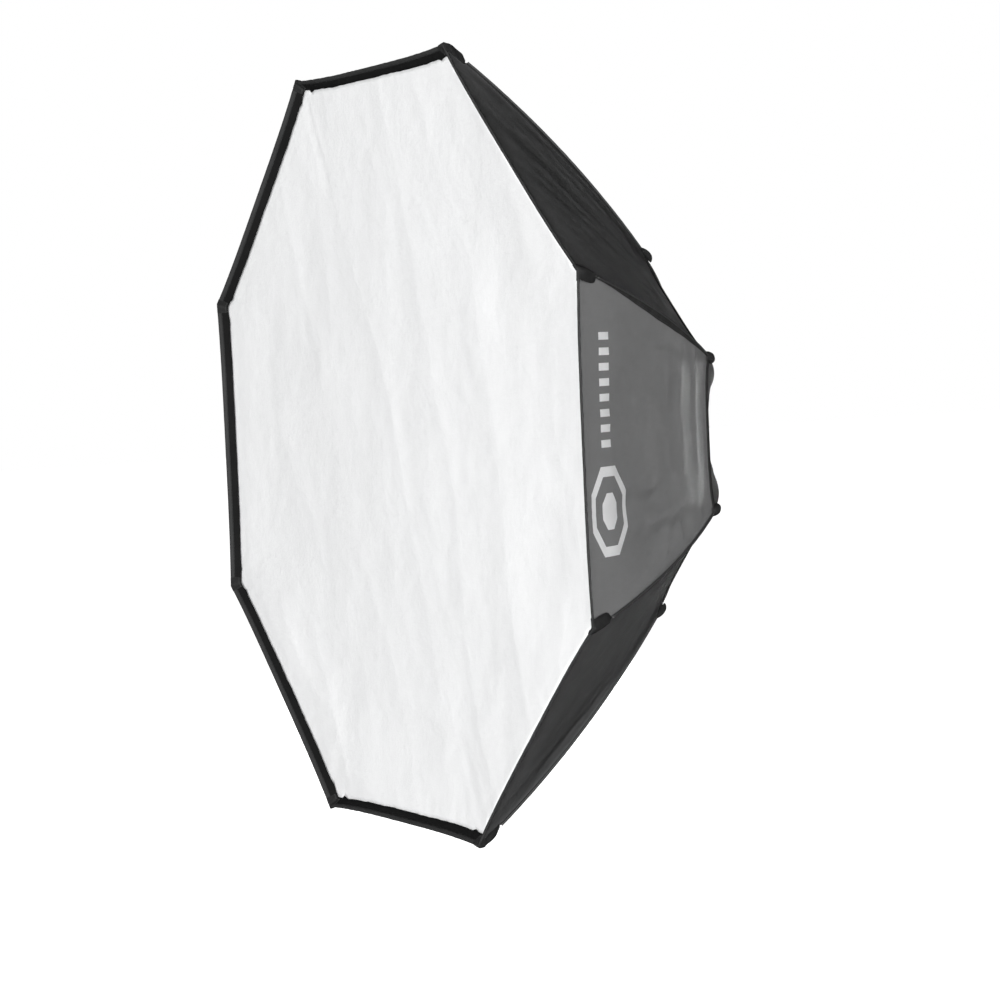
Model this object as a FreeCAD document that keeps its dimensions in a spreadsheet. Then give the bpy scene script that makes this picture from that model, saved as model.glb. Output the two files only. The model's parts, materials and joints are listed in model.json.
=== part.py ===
"""A 1.8 m octagonal studio softbox: eight sprung ribs in a speedring, a fabric shell and two diffusers.

The frame: the origin is the centre of the face that seats on the lamp, +Y points back to the lamp,
-Y to the subject and +Z up. Lengths are millimetres. The shell is worked out from one corner line,
two tangent arcs from the front corner to the neck. Every flat of the octagon is a ruled surface
between two neighbouring corner lines, so its own section is the corner line times cos(22.5 deg).
"""
import FreeCAD, Part
import math
import os

import Sketcher

SIDES = 8
STEP = 360 / SIDES
HALF = STEP / 2
COS_HALF = f"cos({HALF} deg)"
TAN_HALF = f"tan({HALF} deg)"
FLAP_SECTORS = (1, 3, 5, 7)
LOCK_ANGLE = 225

DRIVING = {
    # the corner line of the shell
    "front_radius": 900, "shoulder_radius": 430, "shoulder_depth": 594, "front_bend": 3100,
    "neck_radius": 97, "sewn_edge_radius": 216, "cloth": 1.5, "seam_gap": 0.5, "flap_gap": 1,
    "hem_gap": 0.4, "shoulder_gap": 1, "hinge_gap": 1,
    # speedring and its sockets
    "facet_apothem": 80, "facet_setback": 39, "facet_tilt": 6, "facet_height": 18,
    "collar_radius": 72, "collar_start": 3.4, "ring_bore": 57.4,
    "socket_length": 32, "socket_radius": 6.5, "socket_bore": 3.05, "socket_floor": 5,
    "socket_mouth": 1, "tap_runout": 1,
    "base_width": 40, "base_height": 16, "base_thick": 4, "socket_screw_offset": 14,
    "socket_screw_radius": 1.95, "socket_tap_radius": 2, "socket_screw_depth": 8,
    "socket_head_radius": 3.6, "socket_head_height": 2.6,
    # ribs
    "rib_radius": 3, "rib_inset": 10, "rib_straight": 35, "rib_tip_depth": 40.5, "rib_end_gap": 0.2,
    "tip_cap_radius": 5.5, "tip_cap_length": 16, "tip_cap_round": 2,
    # bayonet insert and its retaining ring
    "insert_bore": 49, "insert_radius": 57, "insert_length": 48.4, "lip_radius": 70, "lip_thick": 3,
    "lug_count": 3, "lug_inner": 61, "lug_outer": 66, "lug_hook": 70, "lug_height": 7,
    "lug_hook_start": 4.2, "lug_width": 20, "retainer_radius": 63, "retainer_thick": 4,
    "retainer_screw_circle": 53, "retainer_screw_radius": 1.5, "retainer_tap_radius": 1.55,
    "retainer_screw_depth": 10, "retainer_head_radius": 2.9, "retainer_head_height": 2,
    "retainer_screws": 4,
    # lock
    "lock_setback": 13, "boss_radius": 8, "boss_end": 86, "boss_root": 4, "tap_radius": 4,
    "tap_breakout": 6, "lock_screw_radius": 3.95,
    "shoe_start": 57.35, "shoe_end": 61.5, "lock_screw_end": 104, "knob_start": 90, "knob_end": 108,
    "knob_radius": 13, "knob_hub_radius": 8, "knob_hub": 4, "knob_grips": 6, "knob_grip_radius": 4,
    "knob_grip_circle": 14.6, "knob_round": 1.2,
    # front lip and the outer diffuser
    "hem_depth": 2.6, "hem_slope": 2, "hem_thick": 2, "lip_wall": 3.5, "ledge_depth": 27.7,
    "ledge_thick": 2, "ledge_apothem": 782, "lip_foot": 27.2, "ledge_seam": 1.5, "diffuser_depth": 24,
    "diffuser_thick": 1, "diffuser_apothem": 804, "tape_thick": 1.2, "tape_apothem": 803,
    "tape_setback": 1,
    # inner diffuser and the clips that hold it
    "inner_depth": 292, "inner_radius": 560, "clip_depth": 300, "clip_radius": 7, "clip_length": 12,
    "clip_bore": 3.04, "clip_wrap": 4.5, "hook_size": 4, "hook_drop": 20, "hook_reach": 14,
    "loop_width": 20, "loop_thick": 2, "loop_lap": 20, "loop_hole": 3.2, "loop_end": 6,
    # trim
    "trim_gap": 0.4, "trim_thick": 1.6, "binding_half": 12, "binding_peak": 0.01,
    "pocket_start": 2, "pocket_length": 56, "pocket_half": 34,
    "tab_width": 22, "tab_length": 44, "tab_rise": 9, "tab_gap": 3, "tab_round": 4,
    "piping_radius": 1.6, "piping_offset": 2.4, "piping_start": 64, "piping_end": 576,
}

doc = FreeCAD.newDocument("softbox")
sheet = doc.addObject("Spreadsheet::Sheet", "dims")
parts_made = []


def add_cells(cells):
    """Write each size as a plain number with its own alias."""
    for alias, number in cells.items():
        row = add_cells.row = add_cells.row + 1
        sheet.set(f"A{row}", alias)
        sheet.set(f"B{row}", str(number))
        sheet.setAlias(f"B{row}", alias)
    doc.recompute()


add_cells.row = 0
add_cells(DRIVING)


def value(expression):
    """The number that a sheet expression gives."""
    return float(sheet.evalExpression(str(expression)))


def work_out_corner_line():
    """Find the centres of the two arcs of the corner line, and how deep the whole box is.

    The angle of a point on an arc is measured from straight out to the lamp's side, and its
    normal is (cos, sin) in the plane of y and radius.
    """
    d = DRIVING
    drop = d["front_radius"] - d["shoulder_radius"]
    chord = math.hypot(drop, d["shoulder_depth"])
    chord_slope = math.atan2(drop, d["shoulder_depth"])
    shoulder_tilt = math.pi / 2 - chord_slope - math.asin(chord / 2 / d["front_bend"])
    socket_tilt = math.radians(d["facet_tilt"])
    start_y = -d["facet_setback"] - d["rib_straight"] * math.sin(socket_tilt)
    start_r = d["facet_apothem"] + d["rib_straight"] * math.cos(socket_tilt)
    rib_shoulder_r = d["shoulder_radius"] - d["rib_inset"] * math.sin(shoulder_tilt)
    rib_bend = (rib_shoulder_r - start_r) / (math.sin(shoulder_tilt) - math.sin(socket_tilt))
    rib_shoulder_y = start_y - rib_bend * (math.cos(socket_tilt) - math.cos(shoulder_tilt))
    shoulder_y = rib_shoulder_y + d["rib_inset"] * math.cos(shoulder_tilt)
    rear_bend = rib_bend + d["rib_inset"]
    return {
        "whole_depth": d["shoulder_depth"] - shoulder_y,
        "rear_bend": rear_bend,
        "shoulder_tilt": math.degrees(shoulder_tilt),
        "front_centre_y": shoulder_y - d["front_bend"] * math.cos(shoulder_tilt),
        "front_centre_r": d["shoulder_radius"] - d["front_bend"] * math.sin(shoulder_tilt),
        "rear_centre_y": shoulder_y - rear_bend * math.cos(shoulder_tilt),
        "rear_centre_r": d["shoulder_radius"] - rear_bend * math.sin(shoulder_tilt),
    }


add_cells(work_out_corner_line())

FRONT_Y = "-dims.whole_depth"
SHOULDER_Y = f"({FRONT_Y} + dims.shoulder_depth)"


def front_line(depth, offset="0"):
    """(y, radius) of the front arc, offset outwards, at a depth behind the front edge."""
    y = f"({FRONT_Y} + {depth})"
    reach = f"sqrt((dims.front_bend + {offset})^2 - ({y} - dims.front_centre_y)^2)"
    return y, f"(dims.front_centre_r + {reach})"


def rear_line(radius, offset="0"):
    """(y, radius) of the rear arc, offset outwards, at a radius from the axis."""
    reach = f"sqrt((dims.rear_bend + {offset})^2 - ({radius} - dims.rear_centre_r)^2)"
    return f"(dims.rear_centre_y + {reach})", f"({radius})"


def on_flat(point):
    """The same point of the section seen at the middle of a flat."""
    y, radius = point
    return y, f"({radius} * {COS_HALF})"


def about_axis(angle):
    """Turn the local +Z direction to an angle counted from +X to +Z around the axis."""
    return FreeCAD.Placement(FreeCAD.Vector(), FreeCAD.Rotation(FreeCAD.Vector(0, 1, 0), 90 - angle))


def tilted(y, radius, tilt):
    """A frame in the local +Z half plane whose own +Z leans towards the front by a tilt."""
    return FreeCAD.Placement(
        FreeCAD.Vector(0, y, radius), FreeCAD.Rotation(FreeCAD.Vector(1, 0, 0), tilt))


def corner_angle(index):
    return HALF + STEP * index


def sector_angle(index):
    return STEP * (index + 1)


def new_body(label, placement=None):
    body = doc.addObject("PartDesign::Body", label)
    body.Label = label
    if placement is not None:
        body.Placement = placement
    parts_made.append(body)
    return body


def origin_feature(body, role):
    return next(f for f in body.Origin.OriginFeatures if f.Role == role)


def new_sketch(body, role, offset=None):
    sketch = body.newObject("Sketcher::SketchObject", f"{body.Name}_sketch")
    sketch.AttachmentSupport = [(origin_feature(body, role), "")]
    sketch.MapMode = "FlatFace"
    if offset is not None:
        sketch.AttachmentOffset = offset
    return sketch


def lift(distance):
    """Move a sketch along its plane's normal."""
    return FreeCAD.Placement(FreeCAD.Vector(0, 0, value(distance)), FreeCAD.Rotation())


def bind(sketch, kind, entries, expression):
    """Add a size constraint and tie it to the sheet."""
    index = sketch.addConstraint(Sketcher.Constraint(kind, *entries, value(expression)))
    sketch.setExpression(f"Constraints[{index}]", str(expression))


def pin_point(sketch, geometry, end, point):
    """Hold one point of the sketch at a pair of expressions."""
    kinds = (("DistanceX", point[0], -2), ("DistanceY", point[1], -1))
    for kind, expression, axis in kinds:
        if abs(value(expression)) < 1e-9:
            sketch.addConstraint(Sketcher.Constraint("PointOnObject", geometry, end, axis))
        else:
            bind(sketch, kind, (-1, 1, geometry, end), expression)


def arc_through(first, middle, last):
    """An arc of a circle through three points, and whether it starts at the first of them."""
    points = [FreeCAD.Vector(*p, 0) for p in (first, middle, last)]
    arc = Part.Arc(*points).toShape().Curve
    angles = [math.atan2(p.y - arc.Center.y, p.x - arc.Center.x) for p in points]
    sweep, part_way = ((angle - angles[0]) % (2 * math.pi) for angle in (angles[2], angles[1]))
    forward = part_way < sweep
    start, stop = (angles[0], angles[2]) if forward else (angles[2], angles[0])
    if stop < start:
        stop += 2 * math.pi
    circle_line = Part.Circle(arc.Center, FreeCAD.Vector(0, 0, 1), arc.Radius)
    return Part.ArcOfCircle(circle_line, start, stop), forward


def outline(sketch, points, arcs=None, closed=True):
    """Draw straight and round edges from point to point; arcs gives a middle point by edge number."""
    arcs = arcs or {}
    numbers = [(value(x), value(y)) for x, y in points]
    count = len(points) if closed else len(points) - 1
    ends = []
    for edge in range(count):
        first, last = numbers[edge], numbers[(edge + 1) % len(points)]
        forward = True
        if edge in arcs:
            middle = tuple(value(e) for e in arcs[edge])
            curve, forward = arc_through(first, middle, last)
            index = sketch.addGeometry(curve)
        else:
            index = sketch.addGeometry(Part.LineSegment(
                FreeCAD.Vector(*first, 0), FreeCAD.Vector(*last, 0)))
        ends.append((index, 1 if forward else 2, 2 if forward else 1))
    for edge in range(count if closed else count - 1):
        index, _, stop = ends[edge]
        following, start, _ = ends[(edge + 1) % count]
        sketch.addConstraint(Sketcher.Constraint("Coincident", index, stop, following, start))
    for edge, (index, start, stop) in enumerate(ends):
        pin_point(sketch, index, start, points[edge])
        if not closed and edge == count - 1:
            pin_point(sketch, index, stop, points[edge + 1])
    for edge, middle in arcs.items():
        spot = sketch.addGeometry(Part.Point(FreeCAD.Vector(*(value(e) for e in middle), 0)), True)
        pin_point(sketch, spot, 1, middle)
        sketch.addConstraint(Sketcher.Constraint("PointOnObject", spot, 1, ends[edge][0]))


def circle(sketch, radius, centre=("0", "0")):
    spot = FreeCAD.Vector(value(centre[0]), value(centre[1]), 0)
    index = sketch.addGeometry(Part.Circle(spot, FreeCAD.Vector(0, 0, 1), value(radius)))
    pin_point(sketch, index, 3, centre)
    bind(sketch, "Radius", (index,), radius)


def rectangle(sketch, left, right, bottom, top):
    outline(sketch, [(left, bottom), (right, bottom), (right, top), (left, top)])


def octagon(sketch, radius):
    """A regular octagon with flats at the top, bottom and sides, by its corner radius."""
    outline(sketch, [
        (f"{radius} * cos({corner_angle(i)} deg)", f"{radius} * sin({corner_angle(i)} deg)")
        for i in range(SIDES)])


def extrude(body, sketch, kind, length, symmetric=False, backwards=False):
    """Pad or pocket a sketch by a length from the sheet."""
    before = body.Shape.Volume if kind == "Pocket" else 0
    feature = body.newObject(f"PartDesign::{kind}", f"{body.Name}_{kind.lower()}")
    feature.Profile = sketch
    feature.setExpression("Length", str(length))
    feature.SideType = "Symmetric" if symmetric else "One side"
    feature.Reversed = backwards
    doc.recompute()
    if kind == "Pocket" and feature.Shape.Volume >= before - 1e-6:
        raise RuntimeError(f"{feature.Name} cuts nothing")
    return feature


def turn_about(body, sketch, axis):
    """Revolve a section about one of the body's origin axes."""
    feature = body.newObject("PartDesign::Revolution", f"{body.Name}_revolution")
    feature.Profile = sketch
    feature.ReferenceAxis = (origin_feature(body, axis), [""])
    feature.Angle = 360
    doc.recompute()
    return feature


def repeat(body, features=None, count=SIDES):
    """Repeat some features, or the whole body, around the box's axis."""
    pattern = body.newObject("PartDesign::PolarPattern", f"{body.Name}_pattern")
    if features is None:
        pattern.TransformMode = "Whole shape"
    else:
        pattern.Originals = features
    pattern.Axis = (origin_feature(body, "Y_Axis"), [""])
    pattern.Angle = 360
    pattern.Occurrences = int(value(count))
    body.Tip = pattern
    doc.recompute()
    return pattern


def pipe_along(body, path, radius):
    """Sweep a round section along an open path sketch."""
    section = body.newObject("Sketcher::SketchObject", f"{body.Name}_section")
    section.AttachmentSupport = [(path, "Edge1")]
    section.MapMode = "NormalToEdge"
    doc.recompute()
    circle(section, radius)
    pipe = body.newObject("PartDesign::AdditivePipe", f"{body.Name}_pipe")
    pipe.Profile = section
    pipe.Spine = path
    doc.recompute()
    return pipe


def strip_band(body, outer, inner, width="2 * dims.front_radius"):
    """Pad a thin curved band; outer and inner are (start, middle, end) points of the section."""
    sketch = new_sketch(body, "YZ_Plane")
    start, middle, end = (on_flat(p) for p in outer)
    inner_start, inner_middle, inner_end = (on_flat(p) for p in inner)
    outline(sketch, [start, end, inner_end, inner_start], {0: middle, 2: inner_middle})
    return extrude(body, sketch, "Pad", width, symmetric=True)


def trim_to_sector(body, gap="0"):
    """Cut a band off at the two corner planes of its flat, less a gap."""
    low, high = "0", "1.2 * dims.front_radius"
    far = "1.2 * dims.front_radius"
    sketch = new_sketch(body, "XZ_Plane")
    for sign in ("", "-"):
        edge = [(f"{sign}({z} * {TAN_HALF} - {gap} / {COS_HALF})", z) for z in (low, high)]
        outline(sketch, [edge[0], edge[1], (f"{sign}({far})", high), (f"{sign}({far})", low)])
    return extrude(body, sketch, "Pocket", "4 * dims.whole_depth", symmetric=True)


def arc_points(line, start, end, offset):
    """Start, middle and end points of a stretch of a corner line."""
    return [line(at, offset) for at in (start, f"(({start}) + ({end})) / 2", end)]


def cloth_panel(label, index, line, start, end, gap="dims.seam_gap"):
    """One flat of the shell, in its own sector, from one place on the corner line to another."""
    body = new_body(label, about_axis(sector_angle(index)))
    strip_band(body, arc_points(line, start, end, "0"), arc_points(line, start, end, "-dims.cloth"))
    trim_to_sector(body, gap)
    return body


# ---------------------------------------------------------------- light mount and lock

def bayonet_insert():
    """The sleeve that turns in the speedring, with a rear flange and three hooked lugs."""
    body = new_body("bayonet_insert")
    sketch = new_sketch(body, "YZ_Plane")
    outline(sketch, [
        ("0", "dims.insert_bore"), ("0", "dims.lip_radius"), ("-dims.lip_thick", "dims.lip_radius"),
        ("-dims.lip_thick", "dims.insert_radius"), ("-dims.insert_length", "dims.insert_radius"),
        ("-dims.insert_length", "dims.insert_bore")])
    turn_about(body, sketch, "Y_Axis")
    lug = new_sketch(body, "YZ_Plane")
    outline(lug, [
        ("0", "dims.lug_inner"), ("dims.lug_height", "dims.lug_inner"),
        ("dims.lug_height", "dims.lug_hook"), ("dims.lug_hook_start", "dims.lug_hook"),
        ("dims.lug_hook_start", "dims.lug_outer"), ("0", "dims.lug_outer")])
    pad = extrude(body, lug, "Pad", "dims.lug_width", symmetric=True)
    repeat(body, [pad], "dims.lug_count")
    taps = new_sketch(body, "XZ_Plane", lift("dims.insert_length"))
    circle(taps, "dims.retainer_tap_radius", ("0", "dims.retainer_screw_circle"))
    pocket = extrude(body, taps, "Pocket", "dims.retainer_screw_depth + dims.tap_runout")
    repeat(body, [pocket], "dims.retainer_screws")


def retaining_ring():
    """The ring that holds the speedring on the insert, from inside the box."""
    body = new_body("retaining_ring")
    sketch = new_sketch(body, "XZ_Plane", lift("dims.insert_length"))
    circle(sketch, "dims.retainer_radius")
    circle(sketch, "dims.insert_bore")
    extrude(body, sketch, "Pad", "dims.retainer_thick")
    holes = new_sketch(body, "XZ_Plane", lift("dims.insert_length + dims.retainer_thick"))
    circle(holes, "dims.retainer_tap_radius", ("0", "dims.retainer_screw_circle"))
    pocket = extrude(body, holes, "Pocket", "dims.retainer_thick")
    repeat(body, [pocket], "dims.retainer_screws")


def retaining_screws():
    body = new_body("retaining_screws")
    at = ("0", "dims.retainer_screw_circle")
    shank = new_sketch(body, "XZ_Plane", lift("dims.insert_length - dims.retainer_screw_depth"))
    circle(shank, "dims.retainer_screw_radius", at)
    extrude(body, shank, "Pad", "dims.retainer_screw_depth + dims.retainer_thick")
    head = new_sketch(body, "XZ_Plane", lift("dims.insert_length + dims.retainer_thick"))
    circle(head, "dims.retainer_head_radius", at)
    extrude(body, head, "Pad", "dims.retainer_head_height")
    repeat(body, count="dims.retainer_screws")


def facet_frame(rise="0"):
    """The frame of the facet at local +Z, raised along the rib's own direction."""
    frame = tilted(-value("dims.facet_setback"), value("dims.facet_apothem"), value("dims.facet_tilt"))
    return frame.multiply(FreeCAD.Placement(FreeCAD.Vector(0, 0, value(rise)), FreeCAD.Rotation()))


def speedring():
    """The cast ring: a round collar behind, eight leaning facets in front and a boss for the lock."""
    body = new_body("speedring", about_axis(corner_angle(0)))
    facet_back = "(dims.facet_setback - dims.facet_height / 2)"
    collar = new_sketch(body, "XZ_Plane", lift("dims.collar_start"))
    circle(collar, "dims.collar_radius")
    extrude(body, collar, "Pad", f"{facet_back} - dims.collar_start")
    facets = new_sketch(body, "XZ_Plane", lift(facet_back))
    apothem = "(dims.facet_apothem + dims.facet_height / 2 * tan(dims.facet_tilt * 1 deg))"
    outline(facets, [
        (f"{apothem} / {COS_HALF} * cos({corner_angle(i)} deg)",
         f"{apothem} / {COS_HALF} * sin({corner_angle(i)} deg)") for i in range(SIDES)])
    pad = extrude(body, facets, "Pad", "dims.facet_height")
    pad.setExpression("TaperAngle", "-dims.facet_tilt")
    doc.recompute()
    lock_turn = FreeCAD.Placement(
        FreeCAD.Vector(), FreeCAD.Rotation(FreeCAD.Vector(0, 1, 0), corner_angle(0) - LOCK_ANGLE))
    lock_frame = lock_turn.multiply(tilted(-value("dims.lock_setback"), value("dims.boss_end"), 0))
    boss = new_sketch(body, "XY_Plane", lock_frame)
    circle(boss, "dims.boss_radius")
    extrude(body, boss, "Pad", "dims.boss_end - dims.ring_bore - dims.boss_root", backwards=True)
    bore = new_sketch(body, "XZ_Plane")
    circle(bore, "dims.ring_bore")
    extrude(body, bore, "Pocket", "4 * dims.facet_setback", symmetric=True)
    tap = new_sketch(body, "XY_Plane", lock_frame)
    circle(tap, "dims.tap_radius")
    extrude(body, tap, "Pocket", "dims.boss_end - dims.ring_bore + dims.tap_breakout")
    holes = new_sketch(body, "XY_Plane", facet_frame())
    for side in ("", "-"):
        circle(holes, "dims.socket_tap_radius", (f"{side}dims.socket_screw_offset", "0"))
    pocket = extrude(body, holes, "Pocket", "dims.socket_screw_depth + dims.tap_runout")
    repeat(body, [pocket])


def rod_socket(index):
    """A turned sleeve on a base plate, screwed to one facet of the speedring."""
    frame = about_axis(corner_angle(index)).multiply(facet_frame())
    body = new_body(f"rod_socket_{index + 1}", frame)
    base = new_sketch(body, "XY_Plane")
    rectangle(base, "-dims.base_width / 2", "dims.base_width / 2",
              "-dims.base_height / 2", "dims.base_height / 2")
    for side in ("", "-"):
        circle(base, "dims.socket_tap_radius", (f"{side}dims.socket_screw_offset", "0"))
    extrude(body, base, "Pad", "dims.base_thick")
    sleeve = new_sketch(body, "XY_Plane")
    circle(sleeve, "dims.socket_radius")
    extrude(body, sleeve, "Pad", "dims.socket_length")
    bore = new_sketch(body, "XY_Plane", lift("dims.socket_length"))
    circle(bore, "dims.socket_bore")
    extrude(body, bore, "Pocket", "dims.socket_length - dims.socket_floor")
    mouth = new_sketch(body, "XY_Plane", lift("dims.socket_length"))
    circle(mouth, "dims.socket_bore + dims.socket_mouth")
    extrude(body, mouth, "Pocket", "dims.socket_mouth")


def socket_screws():
    body = new_body("socket_screws", about_axis(corner_angle(0)))
    for radius, start, length in (
            ("dims.socket_screw_radius", "-dims.socket_screw_depth",
             "dims.socket_screw_depth + dims.base_thick"),
            ("dims.socket_head_radius", "dims.base_thick", "dims.socket_head_height")):
        sketch = new_sketch(body, "XY_Plane", facet_frame(start))
        for side in ("", "-"):
            circle(sketch, radius, (f"{side}dims.socket_screw_offset", "0"))
        extrude(body, sketch, "Pad", length)
    repeat(body)


def lock_place():
    """The lock's own frame: +Z outwards through the boss."""
    return about_axis(LOCK_ANGLE).multiply(tilted(-value("dims.lock_setback"), 0, 0))


def lock_shoe():
    """The pad that presses on the insert."""
    body = new_body("lock_shoe", lock_place())
    sketch = new_sketch(body, "XY_Plane", lift("dims.shoe_start"))
    circle(sketch, "dims.lock_screw_radius")
    extrude(body, sketch, "Pad", "dims.shoe_end - dims.shoe_start")


def lock_screw():
    body = new_body("lock_screw", lock_place())
    sketch = new_sketch(body, "XY_Plane", lift("dims.shoe_end"))
    circle(sketch, "dims.lock_screw_radius")
    extrude(body, sketch, "Pad", "dims.lock_screw_end - dims.shoe_end")


def lock_knob():
    """A hub and a scalloped grip, blind bored for the screw."""
    body = new_body("lock_knob", lock_place())
    grip_length = "dims.knob_end - dims.knob_start - dims.knob_hub"
    hub = new_sketch(body, "XY_Plane", lift("dims.knob_start"))
    circle(hub, "dims.knob_hub_radius")
    extrude(body, hub, "Pad", "dims.knob_hub")
    grip = new_sketch(body, "XY_Plane", lift("dims.knob_start + dims.knob_hub"))
    circle(grip, "dims.knob_radius")
    pad = extrude(body, grip, "Pad", grip_length)
    rim = [f"Edge{i + 1}" for i, edge in enumerate(body.Shape.Edges)
           if hasattr(edge.Curve, "Radius") and abs(edge.Curve.Radius - DRIVING["knob_radius"]) < 0.01]
    fillet = body.newObject("PartDesign::Fillet", "lock_knob_fillet")
    fillet.Base = (pad, rim)
    fillet.setExpression("Radius", "dims.knob_round")
    doc.recompute()
    scallop = new_sketch(body, "XY_Plane", lift("dims.knob_end"))
    for i in range(DRIVING["knob_grips"]):
        turn = i * 360 / DRIVING["knob_grips"]
        circle(scallop, "dims.knob_grip_radius",
               (f"dims.knob_grip_circle * cos({turn} deg)", f"dims.knob_grip_circle * sin({turn} deg)"))
    extrude(body, scallop, "Pocket", grip_length)
    bore = new_sketch(body, "XY_Plane", lift("dims.knob_start"))
    circle(bore, "dims.lock_screw_radius")
    extrude(body, bore, "Pocket", "dims.lock_screw_end - dims.knob_start", backwards=True)


# ---------------------------------------------------------------- ribs

def rib(index):
    """A sprung steel rod: straight in its socket, then the two arcs just inside the corner line."""
    body = new_body(f"rib_{index + 1}", about_axis(corner_angle(index)))
    tilt = "(dims.facet_tilt * 1 deg)"
    inside = "(dims.socket_floor + dims.rib_end_gap)"
    along = {at: (f"(-dims.facet_setback - {at} * sin({tilt}))",
                  f"(dims.facet_apothem + {at} * cos({tilt}))")
             for at in (inside, "dims.rib_straight")}
    shoulder_r = "(dims.shoulder_radius - dims.rib_inset * sin(dims.shoulder_tilt * 1 deg))"
    shoulder = rear_line(shoulder_r, "-dims.rib_inset")
    straight_end = along["dims.rib_straight"]
    rear_middle = rear_line(f"({straight_end[1]} + {shoulder_r}) / 2", "-dims.rib_inset")
    front_middle = front_line("(dims.rib_tip_depth + dims.shoulder_depth) / 2", "-dims.rib_inset")
    tip = front_line("dims.rib_tip_depth", "-dims.rib_inset")
    path = new_sketch(body, "YZ_Plane")
    outline(path, [along[inside], straight_end, shoulder, tip],
            {1: rear_middle, 2: front_middle}, closed=False)
    doc.recompute()
    pipe_along(body, path, "dims.rib_radius")


def rib_frame(depth):
    """The frame on the rib's centre line at a depth, its +Z along the rib towards the tip."""
    y, radius = (value(e) for e in front_line(depth, "-dims.rib_inset"))
    lean = math.acos((y - value("dims.front_centre_y")) / (value("dims.front_bend - dims.rib_inset")))
    return tilted(y, radius, math.degrees(lean))


def rib_tip_caps():
    """Moulded caps on the rib ends, so that they do not wear through the corner pockets."""
    body = new_body("rib_tip_caps", about_axis(corner_angle(0)))
    frame = rib_frame("dims.rib_tip_depth")
    sketch = new_sketch(body, "XY_Plane", frame)
    circle(sketch, "dims.tip_cap_radius")
    pad = extrude(body, sketch, "Pad", "dims.tip_cap_length", symmetric=True)
    rims = [f"Edge{i + 1}" for i, e in enumerate(body.Shape.Edges) if hasattr(e.Curve, "Radius")]
    fillet = body.newObject("PartDesign::Fillet", "rib_tip_caps_fillet")
    fillet.Base = (pad, rims)
    fillet.setExpression("Radius", "dims.tip_cap_round")
    doc.recompute()
    bore = new_sketch(body, "XY_Plane", frame)
    circle(bore, "dims.clip_bore")
    extrude(body, bore, "Pocket", "dims.tip_cap_length")
    repeat(body)


# ---------------------------------------------------------------- shell

def front_gore(index):
    cloth_panel(f"gore_{index + 1}", index, front_line, "(dims.hem_depth + dims.hem_gap)",
                "(dims.shoulder_depth - dims.shoulder_gap)")


def rear_panel(index):
    end = "dims.neck_radius"
    if index in FLAP_SECTORS:
        end = "(dims.sewn_edge_radius + dims.hinge_gap)"
    cloth_panel(f"rear_panel_{index + 1}", index, rear_line,
                "(dims.shoulder_radius - dims.shoulder_gap)", end)


def access_flap(number, index):
    cloth_panel(f"access_flap_{number}", index, rear_line,
                "(dims.sewn_edge_radius - dims.hinge_gap)", "dims.neck_radius", "dims.flap_gap")


def flat_ring(body, section, arcs=None):
    """A band of eight mitred lengths from one section, seen at the middle of a flat."""
    sketch = new_sketch(body, "YZ_Plane")
    outline(sketch, section, arcs)
    extrude(body, sketch, "Pad", "2 * dims.front_radius", symmetric=True)
    trim_to_sector(body)
    repeat(body)


def front_lip():
    """The black hem: it turns in from the front edge and ends in the ledge that carries the tape."""
    body = new_body("front_lip", about_axis(sector_angle(0)))
    edge = f"(dims.front_radius * {COS_HALF})"
    outline_points = [
        ("0", edge), ("dims.hem_depth", f"{edge} - dims.hem_slope"),
        ("dims.hem_depth", f"{edge} - dims.hem_slope - dims.hem_thick"),
        ("dims.ledge_depth + dims.ledge_thick", f"{edge} - dims.lip_foot + dims.ledge_seam"),
        ("dims.ledge_depth + dims.ledge_thick", "dims.ledge_apothem"),
        ("dims.ledge_depth", "dims.ledge_apothem"), ("dims.ledge_depth", f"{edge} - dims.lip_foot"),
        ("0", f"{edge} - dims.lip_wall")]
    flat_ring(body, [(f"({FRONT_Y} + {y})", r) for y, r in outline_points])


def shoulder_binding():
    """The tape sewn over the seam between the front gores and the rear panels."""
    body = new_body("shoulder_binding", about_axis(sector_angle(0)))
    rows = []
    for offset in ("dims.trim_gap", "(dims.trim_gap + dims.trim_thick)"):
        reach = "(dims.binding_half * sin(dims.shoulder_tilt * 1 deg))"
        rows.append([
            on_flat(front_line(f"(dims.shoulder_depth - {reach})", offset)),
            on_flat(rear_line("(dims.shoulder_radius + dims.binding_peak)", offset)),
            on_flat(rear_line(f"(dims.shoulder_radius - {reach})", offset))])
    outer, inner = rows[1], rows[0]
    flat_ring(body, [outer[0], outer[2], inner[2], inner[0]], {0: outer[1], 2: inner[1]})


def octagon_sheet(label, depth, thick, radius, hole=None):
    """A flat octagon, or an octagonal frame, that faces the subject."""
    body = new_body(label)
    sketch = new_sketch(body, "XZ_Plane", lift(f"dims.whole_depth - {depth}"))
    octagon(sketch, radius)
    if hole is not None:
        octagon(sketch, hole)
    extrude(body, sketch, "Pad", thick, backwards=True)


def diffusers():
    """The front diffuser and its hook tape, the loop tape on the ledge, and the inner diffuser."""
    corner = f"/ {COS_HALF})"
    tape = f"(dims.tape_apothem {corner}"
    hole = f"((dims.ledge_apothem + dims.tape_setback) {corner}"
    octagon_sheet("front_diffuser", "dims.diffuser_depth", "dims.diffuser_thick",
                  f"(dims.diffuser_apothem {corner}")
    octagon_sheet("diffuser_hook_tape", "(dims.diffuser_depth + dims.diffuser_thick)",
                  "dims.tape_thick", tape, hole)
    octagon_sheet("lip_loop_tape", "(dims.ledge_depth - dims.tape_thick)", "dims.tape_thick", tape, hole)
    octagon_sheet("inner_diffuser", "dims.inner_depth", "dims.diffuser_thick", "dims.inner_radius")


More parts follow.
